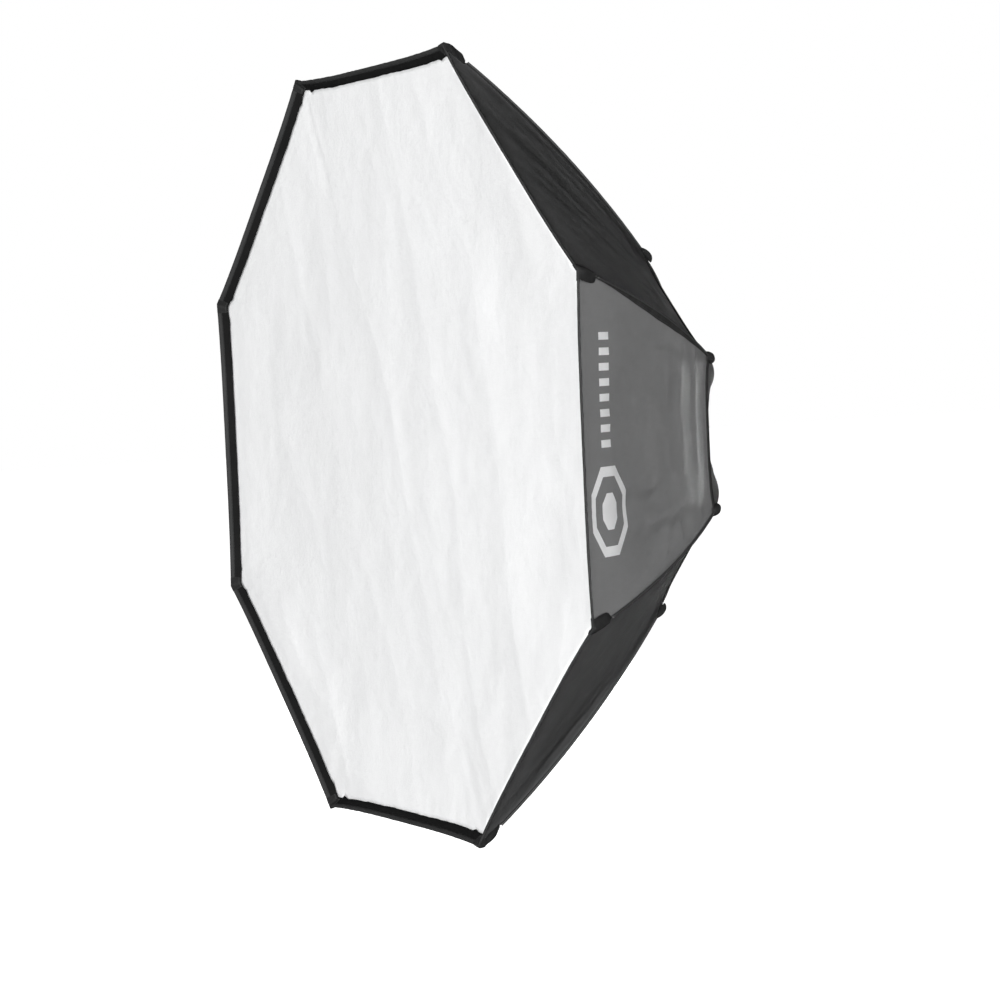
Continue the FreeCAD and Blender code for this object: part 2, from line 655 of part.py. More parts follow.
def rib_clips():
    """Clips on the ribs, each with an arm and a post that points forwards for the elastic loop."""
    body = new_body("rib_clips", about_axis(corner_angle(0)))
    y, radius = (value(e) for e in front_line("dims.clip_depth", "-dims.rib_inset"))
    frame = rib_frame("dims.clip_depth")
    sleeve = new_sketch(body, "XY_Plane", frame)
    circle(sleeve, "dims.clip_radius")
    extrude(body, sleeve, "Pad", "dims.clip_length", symmetric=True)
    arm = new_sketch(body, "YZ_Plane")
    half = "dims.hook_size / 2"
    foot = f"({radius} - dims.hook_drop)"
    outline(arm, [
        (f"{y} - {half}", f"{radius} - dims.clip_wrap"),
        (f"{y} + {half}", f"{radius} - dims.clip_wrap"),
        (f"{y} + {half}", f"{foot} - {half}"), (f"{y} - dims.hook_reach", f"{foot} - {half}"),
        (f"{y} - dims.hook_reach", f"{foot} + {half}"), (f"{y} - {half}", f"{foot} + {half}")])
    extrude(body, arm, "Pad", "dims.hook_size", symmetric=True)
    bore = new_sketch(body, "XY_Plane", frame)
    circle(bore, "dims.clip_bore")
    extrude(body, bore, "Pocket", "2 * dims.clip_length", symmetric=True)
    repeat(body)


def inner_loops():
    """Flat elastic tabs sewn to the inner diffuser's corners, with an eyelet for the post."""
    body = new_body("inner_loops", about_axis(corner_angle(0)))
    radius = value(front_line("dims.clip_depth", "-dims.rib_inset")[1])
    sketch = new_sketch(body, "XZ_Plane", lift("dims.whole_depth - dims.inner_depth"))
    eyelet = f"({radius} - dims.hook_drop)"
    rectangle(sketch, "-dims.loop_width / 2", "dims.loop_width / 2",
              "dims.inner_radius - dims.loop_lap", f"{eyelet} + dims.loop_end")
    circle(sketch, "dims.loop_hole", ("0", eyelet))
    extrude(body, sketch, "Pad", "dims.loop_thick")
    repeat(body)


def corner_pockets():
    """Reinforcement patches folded over the front corners."""
    body = new_body("corner_pockets", about_axis(sector_angle(0)))
    ends = "dims.pocket_start", "dims.pocket_length"
    strip_band(body, arc_points(front_line, *ends, "(dims.trim_gap + dims.trim_thick)"),
               arc_points(front_line, *ends, "dims.trim_gap"))
    trim_to_sector(body)
    middle = new_sketch(body, "XZ_Plane")
    low, high = "0.5 * dims.front_radius", "1.2 * dims.front_radius"
    right = [(f"{z} * {TAN_HALF} - dims.pocket_half", z) for z in (low, high)]
    left = [(f"-({x})", z) for x, z in reversed(right)]
    outline(middle, right + left)
    extrude(body, middle, "Pocket", "4 * dims.whole_depth", symmetric=True)
    repeat(body)


def shoulder_tabs():
    """Folded webbing tabs at the ribs, over the shoulder binding."""
    body = new_body("shoulder_tabs", about_axis(corner_angle(0)))
    frame = tilted(value(SHOULDER_Y), value("dims.shoulder_radius"), value("dims.shoulder_tilt"))
    sketch = new_sketch(body, "YZ_Plane", FreeCAD.Placement(
        FreeCAD.Vector(frame.Base.y, frame.Base.z, 0),
        FreeCAD.Rotation(FreeCAD.Vector(0, 0, 1), value("dims.shoulder_tilt"))))
    half = "dims.tab_length / 2"
    top = "dims.tab_gap + dims.tab_rise"
    outline(sketch, [
        ("dims.tab_gap", f"-{half}"), (f"{top} - dims.tab_round", f"-{half}"), (top, f"-{half} / 2"),
        (top, f"{half} / 2"), (f"{top} - dims.tab_round", half), ("dims.tab_gap", half)])
    extrude(body, sketch, "Pad", "dims.tab_width", symmetric=True)
    repeat(body)


def seam_piping():
    """The thin piping sewn along the front seams."""
    body = new_body("seam_piping", about_axis(corner_angle(0)))
    path = new_sketch(body, "YZ_Plane")
    start, middle, end = arc_points(front_line, "dims.piping_start", "dims.piping_end",
                                    "dims.piping_offset")
    outline(path, [start, end], {0: middle}, closed=False)
    doc.recompute()
    pipe_along(body, path, "dims.piping_radius")
    repeat(body)


def build():
    bayonet_insert()
    retaining_ring()
    retaining_screws()
    speedring()
    lock_shoe()
    lock_screw()
    lock_knob()
    socket_screws()
    rib_tip_caps()
    front_lip()
    diffusers()
    rib_clips()
    inner_loops()
    corner_pockets()
    shoulder_tabs()
    seam_piping()
    shoulder_binding()
    for index in range(SIDES):
        rod_socket(index)
        rib(index)
        front_gore(index)
        rear_panel(index)
    for number, index in enumerate(FLAP_SECTORS, 1):
        access_flap(number, index)
    doc.recompute()


def check_and_write():
    for item in doc.Objects:
        if {"Invalid", "Error"} & set(item.State):
            raise RuntimeError(f"{item.Label} failed: {item.State}")
    for part in parts_made:
        if part.Shape.isNull() or not part.Shape.isValid():
            raise RuntimeError(f"{part.Label} has no valid shape")
    os.makedirs("parts", exist_ok=True)
    for part in parts_made:
        part.Shape.exportStep(f"parts/{part.Label}.step")
        box = part.Shape.BoundBox
        print(f"{part.Label:20s} solids {len(part.Shape.Solids):2d}  volume {part.Shape.Volume:10.0f}  "
              f"y {box.YMin:8.2f} {box.YMax:8.2f}  z {box.ZMin:8.2f} {box.ZMax:8.2f}")


build()
check_and_write()
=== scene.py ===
"""The looks of a 1.8 m octagonal studio softbox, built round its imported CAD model.

Lengths are metres in the CAD model's frame: the origin is the face that seats on the lamp, +Y
points back to the lamp and +Z up. The shell has eight sectors of 45 degrees. Its corner line is
two tangent arcs, from the front corner to the shoulder and from the shoulder to the neck. A place
on the cloth is given by its sector's angle, a share u across it (-1 to 1, corner to corner) and a
depth or radius.
"""
import json
import math

import bmesh
import bpy
from mathutils import Matrix, Vector, noise

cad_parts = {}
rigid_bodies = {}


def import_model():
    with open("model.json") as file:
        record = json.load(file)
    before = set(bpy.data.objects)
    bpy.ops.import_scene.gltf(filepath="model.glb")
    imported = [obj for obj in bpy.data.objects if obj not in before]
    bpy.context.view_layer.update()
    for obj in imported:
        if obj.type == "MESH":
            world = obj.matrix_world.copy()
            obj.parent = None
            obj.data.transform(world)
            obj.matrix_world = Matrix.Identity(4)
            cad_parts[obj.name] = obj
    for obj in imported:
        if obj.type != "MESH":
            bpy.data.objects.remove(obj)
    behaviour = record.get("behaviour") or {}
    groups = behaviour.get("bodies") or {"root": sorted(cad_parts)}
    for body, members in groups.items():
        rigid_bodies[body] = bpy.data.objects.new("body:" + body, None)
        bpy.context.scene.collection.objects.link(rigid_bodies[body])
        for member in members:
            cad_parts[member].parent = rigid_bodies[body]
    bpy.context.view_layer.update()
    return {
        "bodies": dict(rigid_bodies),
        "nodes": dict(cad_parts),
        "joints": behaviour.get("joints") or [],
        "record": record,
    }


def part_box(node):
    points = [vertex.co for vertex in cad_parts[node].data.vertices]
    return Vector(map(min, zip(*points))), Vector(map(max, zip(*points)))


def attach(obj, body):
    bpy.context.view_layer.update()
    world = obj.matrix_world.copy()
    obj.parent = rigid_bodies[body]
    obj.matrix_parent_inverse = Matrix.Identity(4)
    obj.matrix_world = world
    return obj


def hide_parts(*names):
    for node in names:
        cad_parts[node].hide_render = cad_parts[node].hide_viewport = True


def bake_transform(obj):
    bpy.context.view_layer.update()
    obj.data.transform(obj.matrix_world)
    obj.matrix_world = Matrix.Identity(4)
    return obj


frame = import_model()

SIDES = 8
STEP = math.tau / SIDES
HALF = STEP / 2
COS_HALF = math.cos(HALF)
SIN_HALF = math.sin(HALF)
TAN_HALF = math.tan(HALF)
BACK = Vector((0, 1, 0))
FLAP_SECTORS = (2, 4, 6, 8)

# the driving sizes of the shell, as the CAD model has them
FRONT_RADIUS = 0.900
SHOULDER_RADIUS = 0.430
SHOULDER_DEPTH = 0.594
FRONT_BEND = 3.100
SEWN_EDGE_RADIUS = 0.216
NECK_RADIUS = 0.097
DIFFUSER_DEPTH = 0.024
DIFFUSER_APOTHEM = 0.804
HOOK_TAPE_DEPTH = 0.0251
LOOP_TAPE_DEPTH = 0.0260
TAPE_THICKNESS = 0.0008
TAPE_INNER_APOTHEM = 0.783
TAPE_OUTER_APOTHEM = 0.803
INNER_RADIUS = 0.560
CLIP_DEPTH = 0.300
RIB_INSET = 0.010
HOOK_DROP = 0.020

FRONT_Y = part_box("front_lip")[0].y
SHOULDER_Y = FRONT_Y + SHOULDER_DEPTH
NECK_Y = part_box("rear_panel_1")[1].y
INNER_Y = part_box("inner_diffuser")[0].y
FRONT_APOTHEM = FRONT_RADIUS * COS_HALF

# the cloth's thickness and length, and how it hangs between its supports
CLOTH = 0.0009
WHITE_CLOTH = 0.0006
GORE_STRETCH = 1.27
FRONT_BOW = 0.009
SHOULDER_BOW = 0.007
RIDGE_DROP = 0.006
RIDGE_WIDTH = 0.014
BELLY = 0.013
REAR_BELLY = 0.030
INNER_BOW = 0.022

# the turned edge of the front diffuser: how far it is let out, swells forward and is stepped
HEM_EASE = 0.0066
HEM_RISE = 0.0048
HEM_STEP = 0.0006


class Arc:
    """A circular arc in the plane of y and radius."""

    def __init__(self, centre_y, centre_radius, bend):
        self.centre_y = centre_y
        self.centre_radius = centre_radius
        self.bend = bend

    def radius_at(self, y):
        return self.centre_radius + math.sqrt(self.bend ** 2 - (y - self.centre_y) ** 2)

    def y_at(self, radius):
        return self.centre_y + math.sqrt(self.bend ** 2 - (radius - self.centre_radius) ** 2)

    def normal(self, y, radius):
        return (y - self.centre_y) / self.bend, (radius - self.centre_radius) / self.bend


def corner_arcs():
    """The front arc of the corner line, and the rear arc that leaves it tangent at the shoulder."""
    drop = FRONT_RADIUS - SHOULDER_RADIUS
    chord = math.hypot(drop, SHOULDER_DEPTH)
    slope = math.atan2(drop, SHOULDER_DEPTH)
    tilt = math.pi / 2 - slope - math.asin(chord / 2 / FRONT_BEND)
    lean = Vector((math.cos(tilt), math.sin(tilt)))
    shoulder = Vector((SHOULDER_Y, SHOULDER_RADIUS))
    to_neck = Vector((NECK_Y, NECK_RADIUS)) - shoulder
    rear_bend = -to_neck.length_squared / (2 * to_neck.dot(lean))
    front = Arc(*(shoulder - lean * FRONT_BEND), FRONT_BEND)
    return front, Arc(*(shoulder - lean * rear_bend), rear_bend)


FRONT_ARC, REAR_ARC = corner_arcs()


def outwards(angle):
    return Vector((math.cos(angle), 0, math.sin(angle)))


def sideways(angle):
    return Vector((-math.sin(angle), 0, math.cos(angle)))


def smooth(t):
    """0 before 0, 1 after 1 and an S between them."""
    t = min(max(t, 0), 1)
    return t * t * (3 - 2 * t)


def bow(u, depth):
    """How far an edge held at its two ends is pulled in, steepest beside the ends."""
    return depth * (1 - abs(u) ** 3.5)


def wander(*place):
    """Smooth noise from about -1 to 1, the same each run."""
    return noise.noise(Vector(place))


def crease(*place):
    """Narrow ridges, 0 to 1, that wander across the cloth."""
    return (1 - min(abs(wander(*place)) * 2.4, 1)) ** 2


def flat_normal(arc, y, radius, angle):
    """The outward normal of a flat whose corner line is at (y, radius)."""
    along, out = arc.normal(y, radius)
    return (BACK * along * COS_HALF + outwards(angle) * out).normalized()


def on_sector(angle, u, y, radius):
    """The point of the ruled octagon where the corner line is at (y, radius)."""
    return outwards(angle) * radius * COS_HALF + sideways(angle) * u * radius * SIN_HALF + BACK * y


def front_creases(angle, u, share):
    """Soft folds along the gore, sharper ones across its rear, and puckers at the hem."""
    seed = angle * 3.1
    inner = smooth((1 - abs(u)) * 6)
    middle = math.sin(math.pi * min(max(share, 0), 1))
    along = 0.0044 * wander(u * 3.2 + seed, share * 0.9, seed)
    along += 0.0026 * wander(u * 8 + share * 1.5, share * 1.1, seed + 5)
    slanted = 0.0014 * crease(u * 2.6 - share * 3.4, share * 1.2 + u, seed + 4)
    across = 0.0014 * wander(u * 1.4, share * 7, seed + 2)
    fine = 0.0010 * wander(u * 12, share * 13, seed + 7)
    finest = 0.0005 * wander(u * 30, share * 26, seed + 3)
    rear_folds = 0.0026 * smooth((share - 0.5) * 2.6) * crease(u * 1.1, share * 11, seed + 9)
    pucker = 0.0011 * (1 - smooth(share * 9)) * wander(u * 34, share * 4, seed + 1)
    folds = middle * (along + slanted + across + (fine + finest))
    folds += rear_folds * (1 - smooth(share * 8 - 7))
    return inner * folds + pucker


def gore_point(angle, u, depth, lift=0.0):
    """A point of a front gore, lifted off the cloth along its normal."""
    y = FRONT_Y + depth
    radius = FRONT_ARC.radius_at(y)
    share = depth / SHOULDER_DEPTH
    normal = flat_normal(FRONT_ARC, y, radius, angle)
    middle = math.sin(math.pi * min(max(share, 0.0), 1.0))
    from_seam = (1 - abs(u)) * radius * SIN_HALF
    dip = RIDGE_DROP * (1 - math.exp(-from_seam / RIDGE_WIDTH)) * middle ** 0.6
    dip += BELLY * (1 - u * u) * middle
    dip += bow(u, SHOULDER_BOW) * smooth((share - 0.75) * 4)
    point = on_sector(angle, u, y, radius)
    point -= outwards(angle) * bow(u, FRONT_BOW) * (1 - smooth(share * 5))
    return point + normal * (lift - dip + front_creases(angle, u, share))


def rear_point(angle, u, radius, lift=0.0):
    """A point of a rear panel or flap, lifted off the cloth. A flap's sewn edge stays straight."""
    y = REAR_ARC.y_at(radius)
    share = (SHOULDER_RADIUS - radius) / (SHOULDER_RADIUS - NECK_RADIUS)
    normal = flat_normal(REAR_ARC, y, radius, angle)
    middle = math.sin(math.pi * min(max(share, 0.0), 1.0))
    from_seam = (1 - abs(u)) * radius * SIN_HALF
    dip = RIDGE_DROP * 0.7 * (1 - math.exp(-from_seam / RIDGE_WIDTH)) * middle ** 0.6
    dip += REAR_BELLY * (1 - u * u) * middle ** 0.8 * (radius / SHOULDER_RADIUS) ** 1.5
    dip += bow(u, SHOULDER_BOW) * (1 - smooth(share * 4))
    seed = angle * 2.3 + 11
    folds = 0.0026 * wander(u * 2.6, share * 2.2, seed)
    folds += 0.0012 * wander(u * 7, share * 6, seed + 3)
    folds += 0.0024 * crease(u * 2 + share, share * 3.2, seed + 6)
    folds *= middle * smooth((1 - abs(u)) * 5)
    if round(angle / STEP) in FLAP_SECTORS:
        held = 1 - 0.9 * math.exp(-((radius - SEWN_EDGE_RADIUS) / 0.035) ** 2)
        dip, folds = dip * held, folds * held
    return on_sector(angle, u, y, radius) + normal * (lift - dip + folds)


def lip_point(angle, u, depth, inset, lift=0.0):
    """A point inside the front edge: inset inwards from it and set back by a depth."""
    apothem = FRONT_APOTHEM - inset
    reach = apothem - bow(u, FRONT_BOW) + lift
    side = sideways(angle) * u * apothem * TAN_HALF
    return outwards(angle) * reach + side + BACK * (FRONT_Y + depth)


def beside_corner(corner, across, depth, lift):
    """A point over the front cloth at a signed distance from a seam, rounded over the ridge."""
    half_width = FRONT_ARC.radius_at(FRONT_Y + depth) * SIN_HALF
    if across < 0:
        angle, u = STEP * corner, 1 + across / half_width
    else:
        angle, u = STEP * (corner + 1), -1 + across / half_width
    y = FRONT_Y + depth
    radius = FRONT_ARC.radius_at(y)
    corner_out = flat_normal(FRONT_ARC, y, radius, STEP * corner + HALF)
    flat_out = flat_normal(FRONT_ARC, y, radius, angle)
    direction = corner_out.lerp(flat_out, smooth(abs(across) / 0.016)).normalized()
    return gore_point(angle, u, depth) + direction * lift


# meshes ------------------------------------------------------------------------------------------


def grid(name, columns, rows, place, flat, wrap_columns=False, wrap_rows=False, turned=False):
    """A mesh of quads. place(i, j) gives each point, and flat(i, j) its place on the uncut cloth.

    It faces the side from which i runs to the right and j upwards, or the other one if turned.
    """
    width = columns if wrap_columns else columns + 1
    height = rows if wrap_rows else rows + 1
    mesh = bpy.data.meshes.new(name)
    order = [(0, 0), (0, 1), (1, 1), (1, 0)] if turned else [(0, 0), (1, 0), (1, 1), (0, 1)]
    corners = [[(i + a, j + b) for a, b in order] for j in range(rows) for i in range(columns)]
    points = [place(i, j) for j in range(height) for i in range(width)]
    faces = [[(j % height) * width + i % width for i, j in quad] for quad in corners]
    mesh.from_pydata(points, [], faces)
    layer = mesh.uv_layers.new(name="flat")
    for index, corner in enumerate(corner for quad in corners for corner in quad):
        layer.data[index].uv = flat(*corner)
    piece = bpy.data.objects.new(name, mesh)
    bpy.context.scene.collection.objects.link(piece)
    return piece


def join(name, pieces):
    """Make one piece of several, under a new name."""
    first = pieces[0]
    if len(pieces) > 1:
        with bpy.context.temp_override(active_object=first, selected_editable_objects=pieces):
            bpy.ops.object.join()
    first.name = name
    first.data.name = name
    return first


def bake_modifiers(piece):
    """Apply every modifier to the piece's own mesh."""
    evaluated = piece.evaluated_get(bpy.context.evaluated_depsgraph_get())
    mesh = bpy.data.meshes.new_from_object(evaluated)
    piece.modifiers.clear()
    piece.data = mesh


def finish_mesh(piece, thickness=0.0, offset=-1.0, lined=False, level=0):
    """Give a sheet its thickness, round it, turn its normals out and shade it smooth."""
    if thickness:
        solid = piece.modifiers.new("thickness", "SOLIDIFY")
        solid.thickness = thickness
        solid.offset = offset
        solid.use_even_offset = True
        solid.material_offset = 1 if lined else 0
    if level:
        piece.modifiers.new("rounding", "SUBSURF").levels = level
        piece.modifiers["rounding"].render_levels = level
    if piece.modifiers:
        bake_modifiers(piece)
    mesh = bmesh.new()
    mesh.from_mesh(piece.data)
    bmesh.ops.recalc_face_normals(mesh, faces=mesh.faces)
    mesh.to_mesh(piece.data)
    mesh.free()
    piece.data.polygons.foreach_set("use_smooth", [True] * len(piece.data.polygons))


def close_ends(piece):
    """Cap every open end of a piece's tubes."""
    mesh = bmesh.new()
    mesh.from_mesh(piece.data)
    bmesh.ops.holes_fill(mesh, edges=[edge for edge in mesh.edges if edge.is_boundary], sides=0)
    mesh.to_mesh(piece.data)
    mesh.free()


def dress(piece, body, materials, replaced=()):
    """Give a piece its materials and its body, and hide the CAD nodes that it stands for."""
    for made in materials:
        piece.data.materials.append(made)
    if body:
        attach(piece, body)
    if replaced:
        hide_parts(*replaced)


# materials ---------------------------------------------------------------------------------------


class Finish:
    """One procedural material, and short ways to add and link its nodes."""

    def __init__(self, name, roughness, metallic=0.0, specular=0.5, coat=0.0, coordinates="Object"):
        self.material = bpy.data.materials.new(name)
        self.material.use_nodes = True
        self.tree = self.material.node_tree
        self.shader = self.tree.nodes["Principled BSDF"]
        self.shader.inputs["Roughness"].default_value = roughness
        self.shader.inputs["Metallic"].default_value = metallic
        self.shader.inputs["Specular IOR Level"].default_value = specular
        self.shader.inputs["Coat Weight"].default_value = coat
        self.place = self.node("ShaderNodeTexCoord").outputs[coordinates]
        self.height = None

    def node(self, kind, inputs=(), **settings):
        made = self.tree.nodes.new(kind)
        for name, setting in settings.items():
            setattr(made, name, setting)
        for name, source in dict(inputs).items():
            if isinstance(source, bpy.types.NodeSocket):
                self.tree.links.new(source, made.inputs[name])
            else:
                made.inputs[name].default_value = source
        return made

    def math(self, operation, first, second=0.0, third=0.0):
        """The result of a sum, each term a socket or a number."""
        inputs = {0: first, 1: second, 2: third}
        return self.node("ShaderNodeMath", inputs, operation=operation).outputs[0]

    def noise(self, scale, detail=4.0, roughness=0.55, stretch=(1, 1, 1)):
        place = self.node("ShaderNodeMapping", {"Vector": self.place, "Scale": stretch}).outputs[0]
        settings = {"Vector": place, "Scale": scale, "Detail": detail, "Roughness": roughness}
        return self.node("ShaderNodeTexNoise", settings).outputs["Fac"]

    def fit(self, source, low, high, to_low=0.0, to_high=1.0):
        """Stretch a range of a socket's values over another range, held at its ends."""
        limits = {"Value": source, "From Min": low, "From Max": high}
        limits |= {"To Min": to_low, "To Max": to_high}
        return self.node("ShaderNodeMapRange", limits).outputs[0]

    def mix(self, factor, first, second):
        """Blend two colours, each a socket or an RGB triple."""
        made = self.node("ShaderNodeMix", data_type="RGBA")
        for index, source in ((0, factor), (6, first), (7, second)):
            if isinstance(source, bpy.types.NodeSocket):
                self.tree.links.new(source, made.inputs[index])
            else:
                made.inputs[index].default_value = source if index == 0 else (*source, 1)
        return made.outputs[2]

    def colour(self, source):
        self.tree.links.new(source, self.shader.inputs["Base Color"])

    def rough(self, source):
        self.tree.links.new(source, self.shader.inputs["Roughness"])

    def raise_by(self, height, distance):
        """Add relief: a height of 1 stands this far out."""
        scaled = self.math("MULTIPLY", height, distance)
        self.height = scaled if self.height is None else self.math("ADD", self.height, scaled)

    def done(self):
        """Link up the relief and return the material."""
        if self.height is not None:
            inputs = {"Height": self.height, "Distance": 1.0, "Strength": 1.0}
            bump = self.node("ShaderNodeBump", inputs).outputs[0]
            self.tree.links.new(bump, self.shader.inputs["Normal"])
        return self.material

    def threads(self, pitch):
        """Crossing threads of a plain weave, 0 to 1, at a pitch."""
        parts = self.node("ShaderNodeSeparateXYZ", {0: self.place}).outputs
        turn = math.tau / pitch
        warp = self.math("SINE", self.math("MULTIPLY", parts[0], turn))
        weft = self.math("SINE", self.math("MULTIPLY", parts[1], turn))
        return self.math("MULTIPLY_ADD", self.math("MULTIPLY", warp, weft), 0.5, 0.5)

    def stitches(self, rows, pitch=0.0036, width=0.0005):
        """Short dashes along the cloth's first direction, in rows at places across it."""
        parts = self.node("ShaderNodeSeparateXYZ", {0: self.place}).outputs
        dash = self.math("LESS_THAN", self.math("FLOORED_MODULO", parts[0], pitch), pitch * 0.68)
        lines = None
        for row in rows:
            near = self.math("COMPARE", parts[1], row, width)
            lines = near if lines is None else self.math("MAXIMUM", lines, near)
        return self.math("MULTIPLY", dash, lines)


def grey(level):
    """A neutral colour, very slightly cool."""
    return (level * 0.995, level, level * 1.005)


def woven(name, dark, light, roughness=0.85, pitch=0.0009, rows=(), thread=0.3, printed=False,
          crumple=0.0012, specular=0.05):
    """Cloth with its weave, uneven dye, faint slubs and any rows of stitches."""
    finish = Finish(name, roughness, specular=specular, coordinates="UV")
    weave = finish.threads(pitch)
    cloudy = finish.noise(5, 5)
    slub = finish.noise(420, 3, stretch=(1, 0.06, 1))
    cross_slub = finish.noise(420, 3, stretch=(0.06, 1, 1))
    tone = finish.math("MULTIPLY", cloudy, 0.55)
    tone = finish.math("ADD", tone, finish.math("MULTIPLY", slub, 0.25))
    tone = finish.math("ADD", tone, finish.math("MULTIPLY", cross_slub, 0.2))
    tone = finish.math("MULTIPLY_ADD", finish.math("SUBTRACT", weave, 0.5), 0.22, tone)
    base = finish.mix(finish.fit(tone, 0.3, 0.7), grey(dark), grey(light))
    if rows:
        marks = finish.stitches(rows)
        base = finish.mix(marks, base, grey(thread))
        finish.raise_by(marks, 0.0004)
    if printed:
        ink = print_mask(finish)
        base = finish.mix(finish.math("MULTIPLY", ink, 0.96), base, grey(0.95))
        finish.raise_by(ink, 0.0001)
    finish.colour(base)
    finish.raise_by(weave, 0.00010)
    finish.raise_by(finish.math("ADD", slub, cross_slub), 0.00012)
    finish.raise_by(finish.noise(26, 4), crumple)
    return finish.done()


def print_mask(finish):
    """A generic print: a ladder of bars along the front edge, and two octagons below it."""
    mark_across, mark_along = -0.125, 0.118
    ring_apothem, ring_half_width, core_apothem = 0.078, 0.010, 0.036
    bar_pitch, bar_width = 0.030, 0.015
    ladder_across, ladder_along = 0.105, 0.115
    ladder_half_length, ladder_half_width = 0.1200, 0.024
    parts = finish.node("ShaderNodeSeparateXYZ", {0: finish.place}).outputs
    across, along = parts[0], parts[1]
    x = finish.math("ABSOLUTE", finish.math("SUBTRACT", across, mark_across))
    y = finish.math("ABSOLUTE", finish.math("SUBTRACT", along, mark_along))
    slanted = finish.math("MULTIPLY", finish.math("ADD", x, y), math.sqrt(0.5))
    distance = finish.math("MAXIMUM", finish.math("MAXIMUM", x, y), slanted)
    ring = finish.math("COMPARE", distance, ring_apothem, ring_half_width)
    core = finish.math("LESS_THAN", distance, core_apothem)
    bars = finish.math("LESS_THAN", finish.math("FLOORED_MODULO", across, bar_pitch), bar_width)
    inside = finish.math("COMPARE", across, ladder_across, ladder_half_length)
    band = finish.math("COMPARE", along, ladder_along, ladder_half_width)
    ladder = finish.math("MULTIPLY", finish.math("MULTIPLY", bars, inside), band)
    return finish.math("MAXIMUM", finish.math("MAXIMUM", ring, core), ladder)


def silver_lining():
    """The pebbled reflective coating inside the shell, its colour darker in the hollows of its
    crumples as painted shade.
    """
    finish = Finish("silver_lining", 0.4, metallic=0.8, coordinates="UV")
    cells = finish.node("ShaderNodeTexVoronoi", {"Vector": finish.place, "Scale": 260.0}).outputs[0]
    crumples_and_shade = finish.noise(14, 5)
    # painted shade: the colour darkens where the crumple relief sinks
    finish.colour(finish.mix(crumples_and_shade, (0.62, 0.63, 0.65), (0.80, 0.81, 0.82)))
    finish.raise_by(cells, 0.00018)
    finish.raise_by(crumples_and_shade, 0.0016)
    finish.rough(finish.fit(cells, 0, 0.6, 0.34, 0.5))
    return finish.done()


def webbing(name, dark, light, rib=0.0014):
    """Ribbed tape, its ribs across its length."""
    finish = Finish(name, 0.8, specular=0.2, coordinates="UV")
    parts = finish.node("ShaderNodeSeparateXYZ", {0: finish.place}).outputs
    ribs = finish.math("SINE", finish.math("MULTIPLY", parts[0], math.tau / rib))
    ribs = finish.math("MULTIPLY_ADD", ribs, 0.5, 0.5)
    marks = finish.stitches((0.0022,))
    worn = finish.noise(40, 5)
    base = finish.mix(finish.fit(worn, 0.35, 0.65), grey(dark), grey(light))
    finish.colour(finish.mix(finish.math("MULTIPLY", marks, 0.7), base, grey(light * 2.2)))
    finish.raise_by(ribs, 0.00022)
    finish.raise_by(marks, 0.0003)
    finish.raise_by(finish.noise(300, 2), 0.0002)
    return finish.done()


def fuzzy(name, level):
    """Hook or loop tape: short tangled pile."""
    finish = Finish(name, 0.95, specular=0.2)
    cells = finish.node("ShaderNodeTexVoronoi", {"Vector": finish.place, "Scale": 900.0}).outputs[0]
    tangle = finish.noise(500, 4)
    finish.colour(finish.mix(tangle, grey(level * 0.6), grey(level * 1.5)))
    finish.raise_by(cells, 0.0005)
    finish.raise_by(tangle, 0.0004)
    return finish.done()


def moulded(name, dark, light, roughness=0.48, grain=0.00006):
    """Moulded plastic or a powder coat: fine grain and a few worn, smoother places."""
    finish = Finish(name, roughness, coat=0.05)
    speckle = finish.noise(1400, 3)
    worn = finish.noise(35, 6)
    finish.colour(finish.mix(finish.fit(worn, 0.35, 0.7), grey(dark), grey(light)))
    finish.rough(finish.fit(worn, 0.3, 0.7, roughness + 0.1, roughness - 0.08))
    finish.raise_by(speckle, grain)
    finish.raise_by(finish.noise(60, 4), grain)
    return finish.done()


def metal(name, colour, roughness, stretch=(1, 1, 1), scratches=0.00003):
    """Bare or plated metal, with fine marks that run along one direction."""
    finish = Finish(name, roughness, metallic=1.0)
    lines = finish.noise(900, 4, stretch=stretch)
    stain = finish.noise(22, 5)
    darker = tuple(part * 0.72 for part in colour)
    finish.colour(finish.mix(finish.fit(stain, 0.3, 0.7), colour, darker))
    finish.rough(finish.fit(lines, 0.25, 0.75, roughness - 0.08, roughness + 0.14))
    finish.raise_by(lines, scratches)
    return finish.done()


SHELL = woven("shell_cloth_woven", 0.11, 0.17)
SHELL_PRINTED = woven("shell_cloth_printed", 0.11, 0.17, roughness=0.49, specular=0.5, printed=True)
PIPING = woven("piping_cloth", 0.05, 0.08)
HEM = woven("hem_binding", 0.026, 0.045, rows=(0.0045, 0.0255), thread=0.09)
LINING = silver_lining()
LIP = woven("lip_cloth", 0.006, 0.012, rows=(0.006, 0.012), thread=0.05)
TAPE = webbing("black_webbing", 0.012, 0.026)
# black binding tape over the shoulder seam, and also the dark sheet of painted shade beside the
# front seams
BINDING_AND_SEAM_SHADE = webbing("black_binding_and_seam_shade", 0.014, 0.030, rib=0.0010)
WHITE = woven("diffuser_cloth", 0.80, 0.86, roughness=0.9, pitch=0.0007, crumple=0.0012)
ELASTIC = webbing("black_elastic", 0.016, 0.035, rib=0.0008)
PILE = fuzzy("tape_pile", 0.02)

